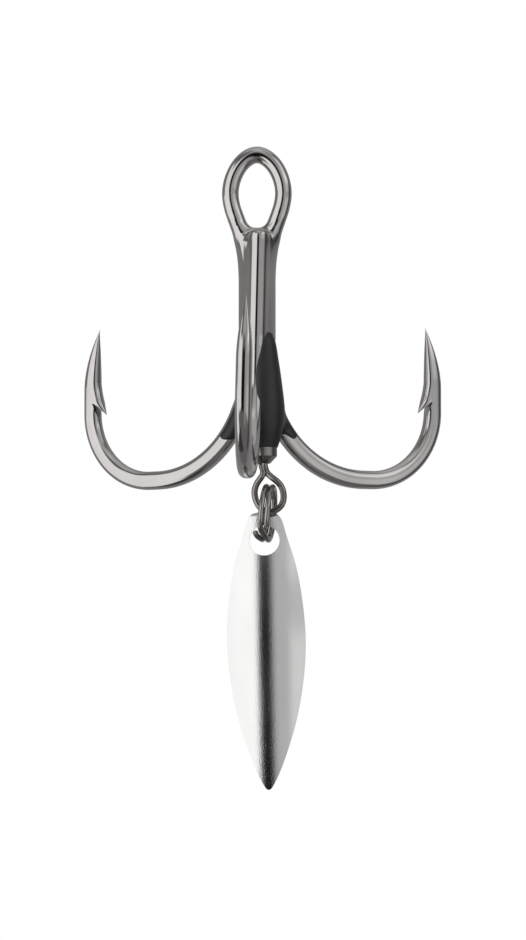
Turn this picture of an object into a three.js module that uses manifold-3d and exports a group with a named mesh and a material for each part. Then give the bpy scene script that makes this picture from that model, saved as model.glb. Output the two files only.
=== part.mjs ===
// A bladed treble hook: three brazed hook wires, a resin keeper moulded in their crotch, a barrel swivel,
// a two-coil split ring and a willow leaf spinner blade. Millimetres, +Z up, hanging from its eye.
// The origin is the centre of the hook's eye, and the treble's axis is the Z axis.
import * as THREE from 'three';
import Module from 'manifold-3d';
import { mergeVertices } from 'three/addons/utils/BufferGeometryUtils.js';

const wasm = await Module();
wasm.setup();

// Hook wire, and the three shanks lying together.
const WIRE_R = 0.61;
const SHANK_R = 0.72; // treble axis to each shank's centre line
const SHANK_Y = SHANK_R * Math.cos(Math.PI / 3);
const SHANK_X = SHANK_R * Math.sin(Math.PI / 3);
const FIT_GAP = 0.012; // clearance between pieces that are joined for good
const WIRE_SIDES = 12;

// Eye: the bend of the double hook that joins its two shanks.
const EYE_TOP = 2.8;
const EYE_HALF_WIDTH = 1.84;
const EYE_WIRE_R = 0.58;
const NECK_END_Z = -5.8; // below it the shanks are straight
const EYE_STEPS = 34;

// Bend: a wide arc leaves the shank and a tighter one turns up to the spear.
const BEND_START_Z = -11.94;
const INNER_BEND_R = 7.6;
const OUTER_BEND_R = 5;
const SPEAR_REACH = 14; // treble axis to the spear's centre line
const BEND_BOTTOM_Z = BEND_START_Z - INNER_BEND_R;
const OUTER_BEND_Z = BEND_BOTTOM_Z + OUTER_BEND_R;

// Spear, its ground point and its barb.
const SPEAR_WIRE_R = 0.575;
const TIP_REACH = 13.43;
const TIP_Z = -8.6;
const TIP_R = 0.03;
const TAPER_LENGTH = 4.2;
const TAPER_POWER = 1.75;
const SPEAR_STEPS = 9;
const BARB_ROOT_Z = -12.3;
const BARB_TIP = [12.8, -14.67];
const BARB_NOTCH = [13.72, -13.75];
const BARB_WIDTH = 0.74;

// Third hook: its wire starts in the front groove, just under the eye.
const SINGLE_TOP_Z = -2.62;

// Braze that fills the grooves between the shanks and the fork under the eye.
const BRAZE_GROOVE_R = 0.8;
const BRAZE_TOP_Z = -2.9;
const BRAZE_BOTTOM_Z = -9.2;
const WEB_TOP_Z = -2.25;
const WEB_DEPTH = 0.8;

// Barrel swivel: its axis stands in the groove between the front and the right hook.
const BARREL_X = 0.45;
const BARREL_Y = -0.26;
const BARREL_R = 0.95;
const BARREL_TOP_Z = -15.56;
const BARREL_BOTTOM_Z = -18.68;
const BARREL_CHAMFER = 0.5;
const BARREL_WALL = 0.16;
const BARREL_HOLE_R = 0.4;
const SWIVEL_WIRE_R = 0.19;
const LEG_OFFSET = [0.11, 0.13];
const HEAD_R = 0.64;
const HEAD_HEIGHT = 0.4;
const HEAD_GAP = 0.12;

// Resin cuffs on the two side wires.
const CUFF_REACH = 2.75;
const CUFF_WALL = 0.15;

// Lower loop of the swivel, seen along Y: it leans a little off the barrel's axis.
const LOOP_BOTTOM_X = 0.94;
const LOOP_BOTTOM_Z = -22.0;

// Split ring: two flat coils side by side, hung with the loop's wire at its centre.
const RING_R = 1.82;
const RING_WIRE_R = 0.195;
const RING_PITCH = 0.42;
const RING_TURNS = 1.936;
const RING_START = 232; // degrees round the ring, from its back over its top, to the wire's first end
const RING_STEP_TURNS = [0.945, 1.08]; // where the wire steps over from the first coil to the second
const RING_SPLAY = 0.35; // the first end stands off the coils to the left
const RING_SPLAY_TURNS = 0.11;
const RING_CENTRE = [0.75, BARREL_Y, -22.09];
const RING_YAW = -4.5;
const RING_LEAN = 5;
const RING_STEPS = 66;

// Spinner blade: a domed willow leaf with a round hole near its top end.
const BLADE_LENGTH = 19.05;
const BLADE_THICKNESS = 0.28;
const BLADE_CURVE_R = 4.56; // radius of the sheet's bend across its width
const BLADE_BACK_Y = 0.52; // loop plane to the middle of the blade's rim
const BLADE_LEAN = 1;
const BLADE_HOLE_R = 1.04;
const HOLE_BELOW_TOP = 1.96;
const PIVOT_X = 0.52;
const PIVOT_Z = -23.95;
const BLADE_ROWS = 30;
const BLADE_COLUMNS = 10;

const UP = new THREE.Vector3(0, 0, 1);

// A closed geometry becomes a solid.
function solid(geometry) {
  const bare = geometry.clone();
  bare.deleteAttribute('normal');
  bare.deleteAttribute('uv');
  const merged = mergeVertices(bare, 1e-4);
  return new wasm.Manifold(new wasm.Mesh({
    numProp: 3,
    vertProperties: new Float32Array(merged.attributes.position.array),
    triVerts: new Uint32Array(merged.index.array),
  }));
}

// A solid becomes a geometry again.
function toGeometry(body) {
  const mesh = body.getMesh();
  const geometry = new THREE.BufferGeometry();
  geometry.setAttribute('position', new THREE.BufferAttribute(new Float32Array(mesh.vertProperties), 3));
  geometry.setIndex(new THREE.BufferAttribute(new Uint32Array(mesh.triVerts), 1));
  geometry.computeVertexNormals();
  return geometry;
}

// The unit vector that points away from the treble axis at an azimuth, where 0 is the front.
function outward(azimuth) {
  const angle = THREE.MathUtils.degToRad(azimuth);
  return new THREE.Vector3(Math.sin(angle), -Math.cos(angle), 0);
}

// A point given by its distance from the treble axis and its height, at an azimuth.
function atAzimuth(azimuth, reach, z) {
  return outward(azimuth).multiplyScalar(reach).setZ(z);
}

// A round wire along a list of {point, radius}, closed by a fan at each end.
function wire(stations, sides = WIRE_SIDES) {
  const points = stations.map((station) => station.point);
  const last = points.length - 1;
  const tangents = points.map((point, i) => {
    const before = points[Math.max(i - 1, 0)];
    const after = points[Math.min(i + 1, last)];
    return after.clone().sub(before).normalize();
  });
  const positions = [];
  const faces = [];
  let normal = new THREE.Vector3(0, 1, 0);
  if (Math.abs(tangents[0].dot(normal)) > 0.9) {
    normal = new THREE.Vector3(1, 0, 0);
  }
  for (let i = 0; i <= last; i += 1) {
    normal = normal.clone().addScaledVector(tangents[i], -normal.dot(tangents[i])).normalize();
    const across = new THREE.Vector3().crossVectors(tangents[i], normal);
    for (let k = 0; k < sides; k += 1) {
      const angle = 2 * Math.PI * (k + 0.5) / sides;
      const corner = points[i].clone()
        .addScaledVector(normal, stations[i].radius * Math.cos(angle))
        .addScaledVector(across, stations[i].radius * Math.sin(angle));
      positions.push(corner.x, corner.y, corner.z);
    }
  }
  for (let i = 0; i < last; i += 1) {
    for (let k = 0; k < sides; k += 1) {
      const a = i * sides + k;
      const b = i * sides + (k + 1) % sides;
      faces.push(a, b, b + sides, a, b + sides, a + sides);
    }
  }
  const firstCentre = positions.length / 3;
  positions.push(points[0].x, points[0].y, points[0].z);
  positions.push(points[last].x, points[last].y, points[last].z);
  for (let k = 0; k < sides; k += 1) {
    const next = (k + 1) % sides;
    faces.push(firstCentre, next, k);
    faces.push(firstCentre + 1, last * sides + k, last * sides + next);
  }
  const geometry = new THREE.BufferGeometry();
  geometry.setAttribute('position', new THREE.Float32BufferAttribute(positions, 3));
  geometry.setIndex(faces);
  return solid(geometry);
}

// A flat outline of [reach, z] points in the plane of an azimuth, given a thickness across it.
function plate(azimuth, outline, thickness) {
  const shape = new THREE.Shape(outline.map(([reach, z]) => new THREE.Vector2(reach, z)));
  const geometry = new THREE.ExtrudeGeometry(shape, { depth: thickness, bevelEnabled: false });
  geometry.translate(0, 0, -thickness / 2);
  const out = outward(azimuth);
  const across = new THREE.Vector3().crossVectors(out, UP);
  geometry.applyMatrix4(new THREE.Matrix4().makeBasis(out, UP, across));
  return solid(geometry);
}

// A turned solid about a vertical axis, from a profile of [radius, z] points.
function turned(profile, x, y, segments = 24) {
  const points = profile.map(([radius, z]) => new THREE.Vector2(radius, z));
  const geometry = new THREE.LatheGeometry(points, segments);
  geometry.rotateX(Math.PI / 2);
  geometry.translate(x, y, 0);
  return solid(geometry);
}

// Stations of one hook from the straight shank round the bend to its point.
function hookStations(azimuth, grow = 0) {
  const stations = [];
  const add = (reach, z, radius) => {
    stations.push({ point: atAzimuth(azimuth, reach, z), radius: radius + grow });
  };
  const innerSteps = 10;
  for (let i = 0; i <= innerSteps; i += 1) {
    const angle = Math.PI / 2 * i / innerSteps;
    const reach = SHANK_R + INNER_BEND_R * (1 - Math.cos(angle));
    add(reach, BEND_START_Z - INNER_BEND_R * Math.sin(angle), WIRE_R);
  }
  const outerSteps = 9;
  for (let i = 0; i <= outerSteps; i += 1) {
    const angle = Math.PI / 2 * i / outerSteps;
    const reach = SPEAR_REACH - OUTER_BEND_R * (1 - Math.sin(angle));
    const radius = THREE.MathUtils.lerp(WIRE_R, SPEAR_WIRE_R, i / outerSteps);
    add(reach, OUTER_BEND_Z - OUTER_BEND_R * Math.cos(angle), radius);
  }
  for (let i = 0; i <= SPEAR_STEPS; i += 1) {
    const fromTip = TAPER_LENGTH * (1 - i / SPEAR_STEPS);
    const fullness = 1 - (1 - fromTip / TAPER_LENGTH) ** TAPER_POWER;
    const reach = THREE.MathUtils.lerp(TIP_REACH, SPEAR_REACH, fullness);
    add(reach, TIP_Z - fromTip, Math.max(SPEAR_WIRE_R * fullness, TIP_R));
  }
  return stations;
}

// The barb is a sliver cut up from the wire on the side that faces the shank.
function cutBarb(hook, azimuth) {
  const surface = SPEAR_REACH - SPEAR_WIRE_R;
  const [tipReach, tipZ] = BARB_TIP;
  const [notchReach, notchZ] = BARB_NOTCH;
  const sliver = plate(azimuth, [
    [surface + 0.06, BARB_ROOT_Z], [tipReach, tipZ], [tipReach + 0.1, tipZ - 0.02],
    [notchReach, notchZ], [notchReach, BARB_ROOT_Z],
  ], BARB_WIDTH);
  const notch = plate(azimuth, [
    [notchReach, notchZ], [tipReach + 0.1, tipZ - 0.02], [tipReach + 0.1, tipZ - 0.5],
    [surface, tipZ - 0.25],
  ], 3 * WIRE_R);
  return hook.add(sliver).subtract(notch);
}

// Stations of the double hook's wire, point to point, through the left shank, the eye and the right shank.
function doubleHookStations(grow = 0) {
  const right = [
    [1.02, 0, 2.26], [1.66, 0, 1.15], [EYE_HALF_WIDTH, 0, 0], [1.62, 0.02, -1.15], [1.22, 0.15, -2.25],
    [0.88, 0.31, -3.4], [0.69, SHANK_Y, -4.6], [SHANK_X, SHANK_Y, NECK_END_Z],
  ];
  const left = right.map(([x, y, z]) => [-x, y, z]).reverse();
  const control = [...left, [0, 0, EYE_TOP], ...right].map(([x, y, z]) => new THREE.Vector3(x, y, z));
  const eye = new THREE.CatmullRomCurve3(control, false, 'centripetal').getSpacedPoints(EYE_STEPS);
  const eyeStations = eye.map((point) => {
    const slimming = THREE.MathUtils.smoothstep(point.z, -4, -1);
    return { point, radius: THREE.MathUtils.lerp(WIRE_R, EYE_WIRE_R, slimming) + grow };
  });
  return [...hookStations(-120, grow).reverse(), ...eyeStations, ...hookStations(120, grow)];
}

function makeDoubleHook() {
  return cutBarb(cutBarb(wire(doubleHookStations()), -120), 120);
}

function singleHookStations(grow = 0) {
  const top = atAzimuth(0, SHANK_R, SINGLE_TOP_Z);
  const dome = [[0, 0.35], [0.12, 0.75], [0.4, 1]].map(([drop, share]) => (
    { point: top.clone().setZ(SINGLE_TOP_Z - drop), radius: WIRE_R * share + grow }
  ));
  return [...dome, ...hookStations(0, grow)];
}

function makeSingleHook() {
  return cutBarb(wire(singleHookStations()), 0);
}

// The braze keeps clear of each wire by the fit gap, so it is one body with three fillets and thin webs.
function makeBraze() {
  const outline = [];
  for (let k = 0; k < 6; k += 1) {
    const direction = outward(60 * k);
    const reach = k % 2 === 1 ? BRAZE_GROOVE_R : SHANK_R + 0.1;
    outline.push(new THREE.Vector2(direction.x * reach, direction.y * reach));
  }
  const column = new THREE.ExtrudeGeometry(new THREE.Shape(outline), {
    depth: BRAZE_TOP_Z - BRAZE_BOTTOM_Z, bevelEnabled: false,
  });
  column.translate(0, 0, BRAZE_BOTTOM_Z);
  const web = plate(90, [
    [-1.2, WEB_TOP_Z], [-0.45, WEB_TOP_Z - 0.1], [0.45, WEB_TOP_Z - 0.1], [1.2, WEB_TOP_Z],
    [0.6, -5], [-0.6, -5],
  ], WEB_DEPTH).translate([0, 0.12, 0]);
  return solid(column).add(web)
    .subtract(wire(doubleHookStations(FIT_GAP)))
    .subtract(wire(singleHookStations(FIT_GAP)));
}

// Both ends of the barrel are crimped in to a hole that lets the wire's neck turn.
function makeBarrel() {
  const nose = BARREL_R - BARREL_CHAMFER;
  const inner = BARREL_R - BARREL_WALL;
  const endThickness = BARREL_CHAMFER - BARREL_WALL;
  return turned([
    [BARREL_HOLE_R, BARREL_BOTTOM_Z], [nose + 0.03, BARREL_BOTTOM_Z],
    [BARREL_R, BARREL_BOTTOM_Z + BARREL_CHAMFER], [BARREL_R, BARREL_TOP_Z - BARREL_CHAMFER],
    [nose + 0.03, BARREL_TOP_Z], [BARREL_HOLE_R, BARREL_TOP_Z],
    [BARREL_HOLE_R, BARREL_TOP_Z - 0.12], [inner, BARREL_TOP_Z - 0.12 - endThickness],
    [inner, BARREL_BOTTOM_Z + 0.12 + endThickness], [BARREL_HOLE_R, BARREL_BOTTOM_Z + 0.12],
    [BARREL_HOLE_R, BARREL_BOTTOM_Z],
  ], BARREL_X, BARREL_Y);
}

// A head inside the barrel, with the two legs of a wire loop leaving it. The side is 1 for up, -1 for down.
function swivelEye(headZ, side, loop, grow = 0) {
  const [dx, dy] = LEG_OFFSET;
  const head = turned([
    [0, headZ - HEAD_HEIGHT / 2], [HEAD_R - 0.12, headZ - HEAD_HEIGHT / 2], [HEAD_R, headZ],
    [HEAD_R - 0.12, headZ + HEAD_HEIGHT / 2], [0, headZ + HEAD_HEIGHT / 2],
  ], BARREL_X, BARREL_Y);
  const neckEnd = side > 0 ? BARREL_TOP_Z : BARREL_BOTTOM_Z;
  const legs = [-1, 1].map((hand) => [headZ, neckEnd + 0.1 * side].map((z) => (
    new THREE.Vector3(BARREL_X + hand * dx, BARREL_Y - hand * dy, z)
  )));
  const control = [...legs[0], ...loop, ...legs[1].reverse()];
  const curve = new THREE.CatmullRomCurve3(control, false, 'centripetal');
  const stations = curve.getSpacedPoints(54).map((point) => ({ point, radius: SWIVEL_WIRE_R + grow }));
  return head.add(wire(stations, 8));
}

// The lower loop is a teardrop whose bottom wire carries the split ring.
function makeLowerEye() {
  const headZ = BARREL_BOTTOM_Z + BARREL_CHAMFER + HEAD_GAP + HEAD_HEIGHT / 2;
  const loop = [
    [0.45, -0.05, -19.35], [0.08, 0, -19.95], [-0.14, 0, -20.65], [0.07, 0, -21.45],
    [LOOP_BOTTOM_X - 0.38, 0, LOOP_BOTTOM_Z + 0.05], [LOOP_BOTTOM_X + 0.1, 0, LOOP_BOTTOM_Z],
    [1.66, 0, -21.6], [1.86, 0, -20.95], [1.6, 0, -20.2], [1.05, 0, -19.62], [0.72, 0.05, -19.3],
  ];
  return swivelEye(headZ, -1, loop.map(([x, dy, z]) => new THREE.Vector3(x, BARREL_Y + dy, z)));
}

// The upper loop is squeezed narrow and lies in the groove between two shanks, inside the resin.
function makeAnchorEye(grow = 0) {
  const headZ = BARREL_TOP_Z - BARREL_CHAMFER - HEAD_GAP - HEAD_HEIGHT / 2;
  const loop = [[0.72, -14.9], [0.86, -13.6], [1.0, -12.5], [1.2, -12.25], [1.42, -12.5], [1.35, -13.6],
    [1.0, -14.9]];
  return swivelEye(headZ, 1, loop.map(([reach, z]) => atAzimuth(60, reach, z)), grow);
}

// Resin: a turned body round the barrel, a tongue up the groove and a cuff on each side wire.
function makeResin() {
  const body = turned([
    [0, -17.5], [1.08, -17.5], [1.22, -17.1], [1.47, -16.2], [1.53, -14.8], [1.37, -13.2], [1.1, -11.6],
    [0.76, -10.1], [0.3, -9.55], [0, -9.55],
  ], BARREL_X, BARREL_Y, 20);
  let lump = body;
  for (const azimuth of [-120, 120]) {
    const cuff = hookStations(azimuth).filter(({ point }) => Math.hypot(point.x, point.y) < CUFF_REACH)
      .map(({ point }) => ({ point, radius: WIRE_R + CUFF_WALL }));
    lump = lump.add(wire(cuff));
  }
  const pocket = [
    [0, BARREL_BOTTOM_Z], [BARREL_R + FIT_GAP, BARREL_BOTTOM_Z],
    [BARREL_R + FIT_GAP, BARREL_TOP_Z - BARREL_CHAMFER], [BARREL_HOLE_R + 0.1, BARREL_TOP_Z + 0.03],
    [0, BARREL_TOP_Z + 0.03],
  ];
  return lump
    .subtract(wire(doubleHookStations(FIT_GAP)))
    .subtract(wire(singleHookStations(FIT_GAP)))
    .subtract(makeBraze())
    .subtract(turned(pocket, BARREL_X, BARREL_Y))
    .subtract(makeAnchorEye(FIT_GAP));
}

// Each coil lies flat; the wire steps over to the second coil in the gap between its two ends.
function makeSplitRing() {
  const stations = [];
  for (let i = 0; i <= RING_STEPS; i += 1) {
    const turn = RING_TURNS * i / RING_STEPS;
    const angle = 2 * Math.PI * turn + THREE.MathUtils.degToRad(RING_START);
    const step = THREE.MathUtils.smoothstep(turn, ...RING_STEP_TURNS);
    const splay = RING_SPLAY * (1 - THREE.MathUtils.smoothstep(turn, 0, RING_SPLAY_TURNS));
    const aside = RING_PITCH * (step - 0.5) - splay;
    const point = new THREE.Vector3(aside, RING_R * Math.cos(angle), RING_R * Math.sin(angle));
    stations.push({ point, radius: RING_WIRE_R });
  }
  return wire(stations, 8).rotate([0, RING_LEAN, RING_YAW]).translate(RING_CENTRE);
}

// Half the blade's width at a share of its length, from the eye end to the tip.
function bladeHalfWidth(share) {
  const outline = new THREE.SplineCurve([
    new THREE.Vector2(0, 0), new THREE.Vector2(0.012, 0.98), new THREE.Vector2(0.07, 1.43),
    new THREE.Vector2(0.186, 2.08), new THREE.Vector2(0.32, 2.52), new THREE.Vector2(0.46, 2.7),
    new THREE.Vector2(0.6, 2.52), new THREE.Vector2(0.733, 2.06), new THREE.Vector2(0.85, 1.4),
    new THREE.Vector2(0.94, 0.74), new THREE.Vector2(0.985, 0.3), new THREE.Vector2(1, 0),
  ]);
  let low = 0;
  let high = 1;
  for (let i = 0; i < 30; i += 1) {
    const middle = (low + high) / 2;
    if (outline.getPoint(middle).x < share) {
      low = middle;
    } else {
      high = middle;
    }
  }
  return outline.getPoint(low).y;
}

// Rows from the eye end to the tip; the sheet is bent across its width, so it bulges to the front.
function makeBlade() {
  const positions = [];
  const faces = [];
  const stride = BLADE_COLUMNS + 1;
  for (const face of [-1, 1]) {
    for (let i = 0; i <= BLADE_ROWS; i += 1) {
      const share = 0.003 + 0.994 * (1 - Math.cos(Math.PI * i / BLADE_ROWS)) / 2;
      const half = bladeHalfWidth(share);
      const dome = half * half / (2 * BLADE_CURVE_R);
      for (let j = 0; j <= BLADE_COLUMNS; j += 1) {
        const side = 2 * j / BLADE_COLUMNS - 1;
        const y = BLADE_BACK_Y - dome * (1 - side * side) + face * BLADE_THICKNESS / 2;
        positions.push(half * side, y, HOLE_BELOW_TOP - BLADE_LENGTH * share);
      }
    }
  }
  const back = (BLADE_ROWS + 1) * stride;
  const quad = (a, b, c, d) => faces.push(a, b, c, a, c, d);
  for (let i = 0; i < BLADE_ROWS; i += 1) {
    for (let j = 0; j < BLADE_COLUMNS; j += 1) {
      const a = i * stride + j;
      quad(a, a + stride, a + stride + 1, a + 1);
      quad(back + a, back + a + 1, back + a + stride + 1, back + a + stride);
    }
    const left = i * stride;
    const right = left + BLADE_COLUMNS;
    quad(left, back + left, back + left + stride, left + stride);
    quad(right, right + stride, back + right + stride, back + right);
  }
  const bottom = BLADE_ROWS * stride;
  for (let j = 0; j < BLADE_COLUMNS; j += 1) {
    quad(j, j + 1, back + j + 1, back + j);
    quad(bottom + j, back + bottom + j, back + bottom + j + 1, bottom + j + 1);
  }
  const geometry = new THREE.BufferGeometry();
  geometry.setAttribute('position', new THREE.Float32BufferAttribute(positions, 3));
  geometry.setIndex(faces);
  const hole = new THREE.CylinderGeometry(BLADE_HOLE_R, BLADE_HOLE_R, 4, 24);
  return solid(geometry).subtract(solid(hole))
    .rotate([0, -BLADE_LEAN, 0])
    .translate([PIVOT_X, BARREL_Y, PIVOT_Z]);
}

const blackNickel = { color: 0x5c5856, roughness: 0.22, metalness: 1 };
const resinBlack = { color: 0x232427, roughness: 0.65, metalness: 0 };
const satinSilver = { color: 0xdcdcda, roughness: 0.3, metalness: 1 };

const pieces = {
  double_hook: [makeDoubleHook(), blackNickel],
  single_hook: [makeSingleHook(), blackNickel],
  shank_braze: [makeBraze(), blackNickel],
  resin_keeper: [makeResin(), resinBlack],
  swivel_barrel: [makeBarrel(), blackNickel],
  swivel_anchor_eye: [makeAnchorEye(), blackNickel],
  swivel_lower_eye: [makeLowerEye(), blackNickel],
  split_ring: [makeSplitRing(), blackNickel],
  spinner_blade: [makeBlade(), satinSilver],
};

const trebleHook = new THREE.Group();
for (const [name, [body, finish]] of Object.entries(pieces)) {
  const mesh = new THREE.Mesh(toGeometry(body), new THREE.MeshStandardMaterial(finish));
  mesh.name = name;
  trebleHook.add(mesh);
}

export default trebleHook;
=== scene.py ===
"""A bladed treble hook: three brazed hook wires with barbed points, a black resin keeper moulded round a
barrel swivel, a two-coil split ring and a domed willow leaf blade. Sizes and places are in millimetres in
the CAD model's frame, and become metres when a piece is made. An azimuth is in degrees about Z, from the
front."""
import math

import bmesh
import bpy
import numpy as np
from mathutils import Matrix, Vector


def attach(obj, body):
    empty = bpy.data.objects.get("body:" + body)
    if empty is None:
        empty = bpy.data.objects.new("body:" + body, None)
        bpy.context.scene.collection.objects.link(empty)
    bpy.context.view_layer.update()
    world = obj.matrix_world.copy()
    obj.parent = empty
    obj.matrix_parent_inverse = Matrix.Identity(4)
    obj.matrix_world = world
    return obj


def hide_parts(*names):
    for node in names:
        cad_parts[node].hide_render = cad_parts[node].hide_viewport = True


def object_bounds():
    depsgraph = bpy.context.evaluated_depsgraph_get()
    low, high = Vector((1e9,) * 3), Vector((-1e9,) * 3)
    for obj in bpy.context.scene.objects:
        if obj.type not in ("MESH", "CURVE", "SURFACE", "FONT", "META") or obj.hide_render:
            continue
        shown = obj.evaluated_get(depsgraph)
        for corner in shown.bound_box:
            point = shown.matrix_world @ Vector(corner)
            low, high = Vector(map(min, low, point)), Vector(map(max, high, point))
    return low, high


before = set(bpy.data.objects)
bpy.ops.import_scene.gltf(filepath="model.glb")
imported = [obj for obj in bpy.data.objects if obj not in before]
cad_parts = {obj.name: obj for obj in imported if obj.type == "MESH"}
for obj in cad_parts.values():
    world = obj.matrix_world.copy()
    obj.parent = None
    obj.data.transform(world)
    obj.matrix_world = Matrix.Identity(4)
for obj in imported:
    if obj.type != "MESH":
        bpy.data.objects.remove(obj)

cad_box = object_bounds()
MM = 0.001

# Hook wire: the three shanks lie together, and the eye joins two of them.
FRONT_AZIMUTH = 0
SIDE_AZIMUTHS = (-120, 120)
WIRE_R = 0.61
SHANK_R = 0.72
SHANK_Y = SHANK_R * math.cos(math.pi / 3)
SHANK_X = SHANK_R * math.sin(math.pi / 3)
EYE_WIRE_R = 0.58
EYE_RIGHT_HALF = [
    (1.02, 0, 2.26), (1.66, 0, 1.15), (1.84, 0, 0), (1.62, 0.02, -1.15), (1.22, 0.15, -2.25),
    (0.88, 0.31, -3.4), (0.69, SHANK_Y, -4.6), (SHANK_X, SHANK_Y, -5.8),
]
EYE_TOP = (0, 0, 2.8)
EYE_SLIMMING_Z = (-4, -1)
SINGLE_TOP_Z = -2.62
SINGLE_TOP_ROUNDING = [(0, 0.3), (0.03, 0.45), (0.12, 0.56), (0.4, 0.6)]
HOOK_SIDES = 40
HOOK_STEPS = 40

# Bend, spear and barb.
BEND_START_Z = -11.94
INNER_BEND_R = 7.6
OUTER_BEND_R = 5
SPEAR_REACH = 14
BEND_BOTTOM_Z = BEND_START_Z - INNER_BEND_R
OUTER_BEND_Z = BEND_BOTTOM_Z + OUTER_BEND_R
SPEAR_WIRE_R = 0.575
TIP_REACH = 13.43
TIP_Z = -8.6
TIP_R = 0.02
TAPER_LENGTH = 4.2
TAPER_POWER = 1.75
BARB_ROOT_Z = -12.3
BARB_TIP = (12.8, -14.67)
BARB_TIP_THICKNESS = 0.03
BARB_NOTCH = (13.72, -13.75)
BARB_NOTCH_R = 0.07
BARB_NOTCH_INSET = 1.6
BARB_NOTCH_FLOOR = (-0.34, -1.1)
BARB_NOTCH_LENGTH = 2.4
BARB_NOTCH_HALF_WIDTH = 1.0
BARB_LIFT_POWER = 1.6
BARB_NARROWING = 0.85
BARB_NARROWING_POWER = 1.5
BARB_SUNK = 0.003

# Forging: the bend and the spear are pressed flat on their sides, which makes their section squarish. It
# starts this far out from the shank, is full at the second distance, and fades this far from the point.
FORGED_DEPTH = 1.06
FORGED_THICKNESS = 0.92
FORGED_SQUARENESS = 2.5
FORGE_START = 0.25
FORGE_FULL = 0.6
FORGE_TIP_FADE = 1.6

# The single hook leans: it stands this much further right for each millimetre that it is above a height.
FRONT_LEAN = 0.023
FRONT_LEAN_Z = -10.5

# Braze: a skin over the shanks, a web across the fork under the eye, and fillets in the three grooves.
SKIN_TOP_Z = -1.0
SKIN_BOTTOM_Z = -11.2
SKIN_PROUD = 0.008
SKIN_VOXEL = 0.098
SKIN_TAIL = 0.8
SHANK_TAIL_Z = -13.0
SHANK_BLEND = 0.2
FRONT_BLEND = 0.25
FRONT_EDGE = 0.22
WEB_TOP_Z = -2.3
WEB_RISE = 0.1
WEB_FORWARD = 0.06
WEB_HALF_DEPTH = 0.42
WEB_CORNER = 0.3
WEB_BLEND = 0.5
CORE_PROFILE = [(0, -12), (0.75, -12), (0.95, -5), (1.15, WEB_TOP_Z - 0.1), (0, WEB_TOP_Z - 0.1)]
CORE_Y = 0.1
CORE_FLATNESS = 0.6
COARSE_STATIONS = 160
COARSE_SIDES = 20
COARSE_SPARE = 0.03
COARSE_FRONT_SPARE = 0.05
BRAZE_CROWN = 0.08
BRAZE_SOFTNESS = 0.25
BRAZE_SHOULDER = 0.7
BRAZE_TOP_GAP = 0.1
BRAZE_SUNK = 0.04
BRAZE_FADE_DEPTH = 0.4
BRAZE_FADE_BELOW = (9.9, 11.3)

# Swivel.
BARREL_X = 0.45
BARREL_Y = -0.26
BARREL_R = 0.95
BARREL_TOP_Z = -15.56
BARREL_BOTTOM_Z = -18.68
BARREL_CHAMFER = 0.5
BARREL_HOLE_R = 0.4
BARREL_DIMPLE = 0.12
BARREL_LIP = 0.02
BARREL_NOSE_WIDENING = 0.03
SWIVEL_WIRE_R = 0.22
LEG_OFFSET = (0.11, 0.17)
HEAD_R = 0.62
HEAD_HEIGHT = 0.38
HEAD_ROUNDING = 0.1
HEAD_GAP = 0.12
LEG_BELOW_BARREL = 0.1
LOOP_STATIONS = 220
LOOP_SIDES = 20
LOWER_LOOP = [
    (0.45, -0.05, -19.35), (0.08, 0, -19.95), (-0.14, 0, -20.65), (0.07, 0, -21.45),
    (0.56, 0, -21.95), (1.04, 0, -22.0), (1.66, 0, -21.6), (1.86, 0, -20.95), (1.64, 0, -20.17),
    (1.05, 0, -19.62), (0.72, 0.05, -19.3),
]

# Resin keeper: a turned body, bare along the single hook, and a cuff round each side wire.
RESIN_PROFILE = [
    (1.02, -17.5), (1.16, -17.1), (1.42, -16.2), (1.5, -15.0), (1.35, -13.5), (1.19, -12.3),
    (1.02, -11.2), (0.85, -10.25), (0.67, -9.8),
]
RESIN_VOXEL = 0.1
RESIN_TOP_Z = -9.55
RESIN_BOTTOM_Z = -17.6
RESIN_FOOT_R = 1.05
RESIN_FOOT_SPARE = 0.2
RESIN_RIM_RISE = 1.0
RESIN_RIM_RISE_SPAN = (1.1, 1.5)
RESIN_RIM_DIP = 0.35
RESIN_RIM_DIP_SPAN = (1.5, 2.5)
RESIN_RIM_EDGE = 0.12
BARE_X = -0.02
BARE_Y = -SHANK_R - 0.05
BARE_EDGE = 0.2
CUFF_REACH = 2.85
CUFF_WALL = {-120: 0.04, 120: 0.05}
CUFF_INWARD = {-120: 0.16, 120: 0.02}
CUFF_TOP_Z = BEND_START_Z - 0.3
CUFF_BLEND = 0.5
CUFF_FINENESS = 0.6

# Split ring.
RING_R = 1.82
RING_WIRE_R = 0.196
RING_PITCH = 0.42
RING_TURNS = 1.936
RING_START = 232
RING_STEP_TURNS = (0.945, 1.08)
RING_SPLAY = 0.35
RING_SPLAY_TURNS = 0.1
RING_CENTRE = (0.75, BARREL_Y, -22.09)
RING_YAW = -4.5
RING_LEAN = 5
RING_END_ROUNDING = 0.04
RING_STATIONS = 300
RING_SIDES = 24

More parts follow.
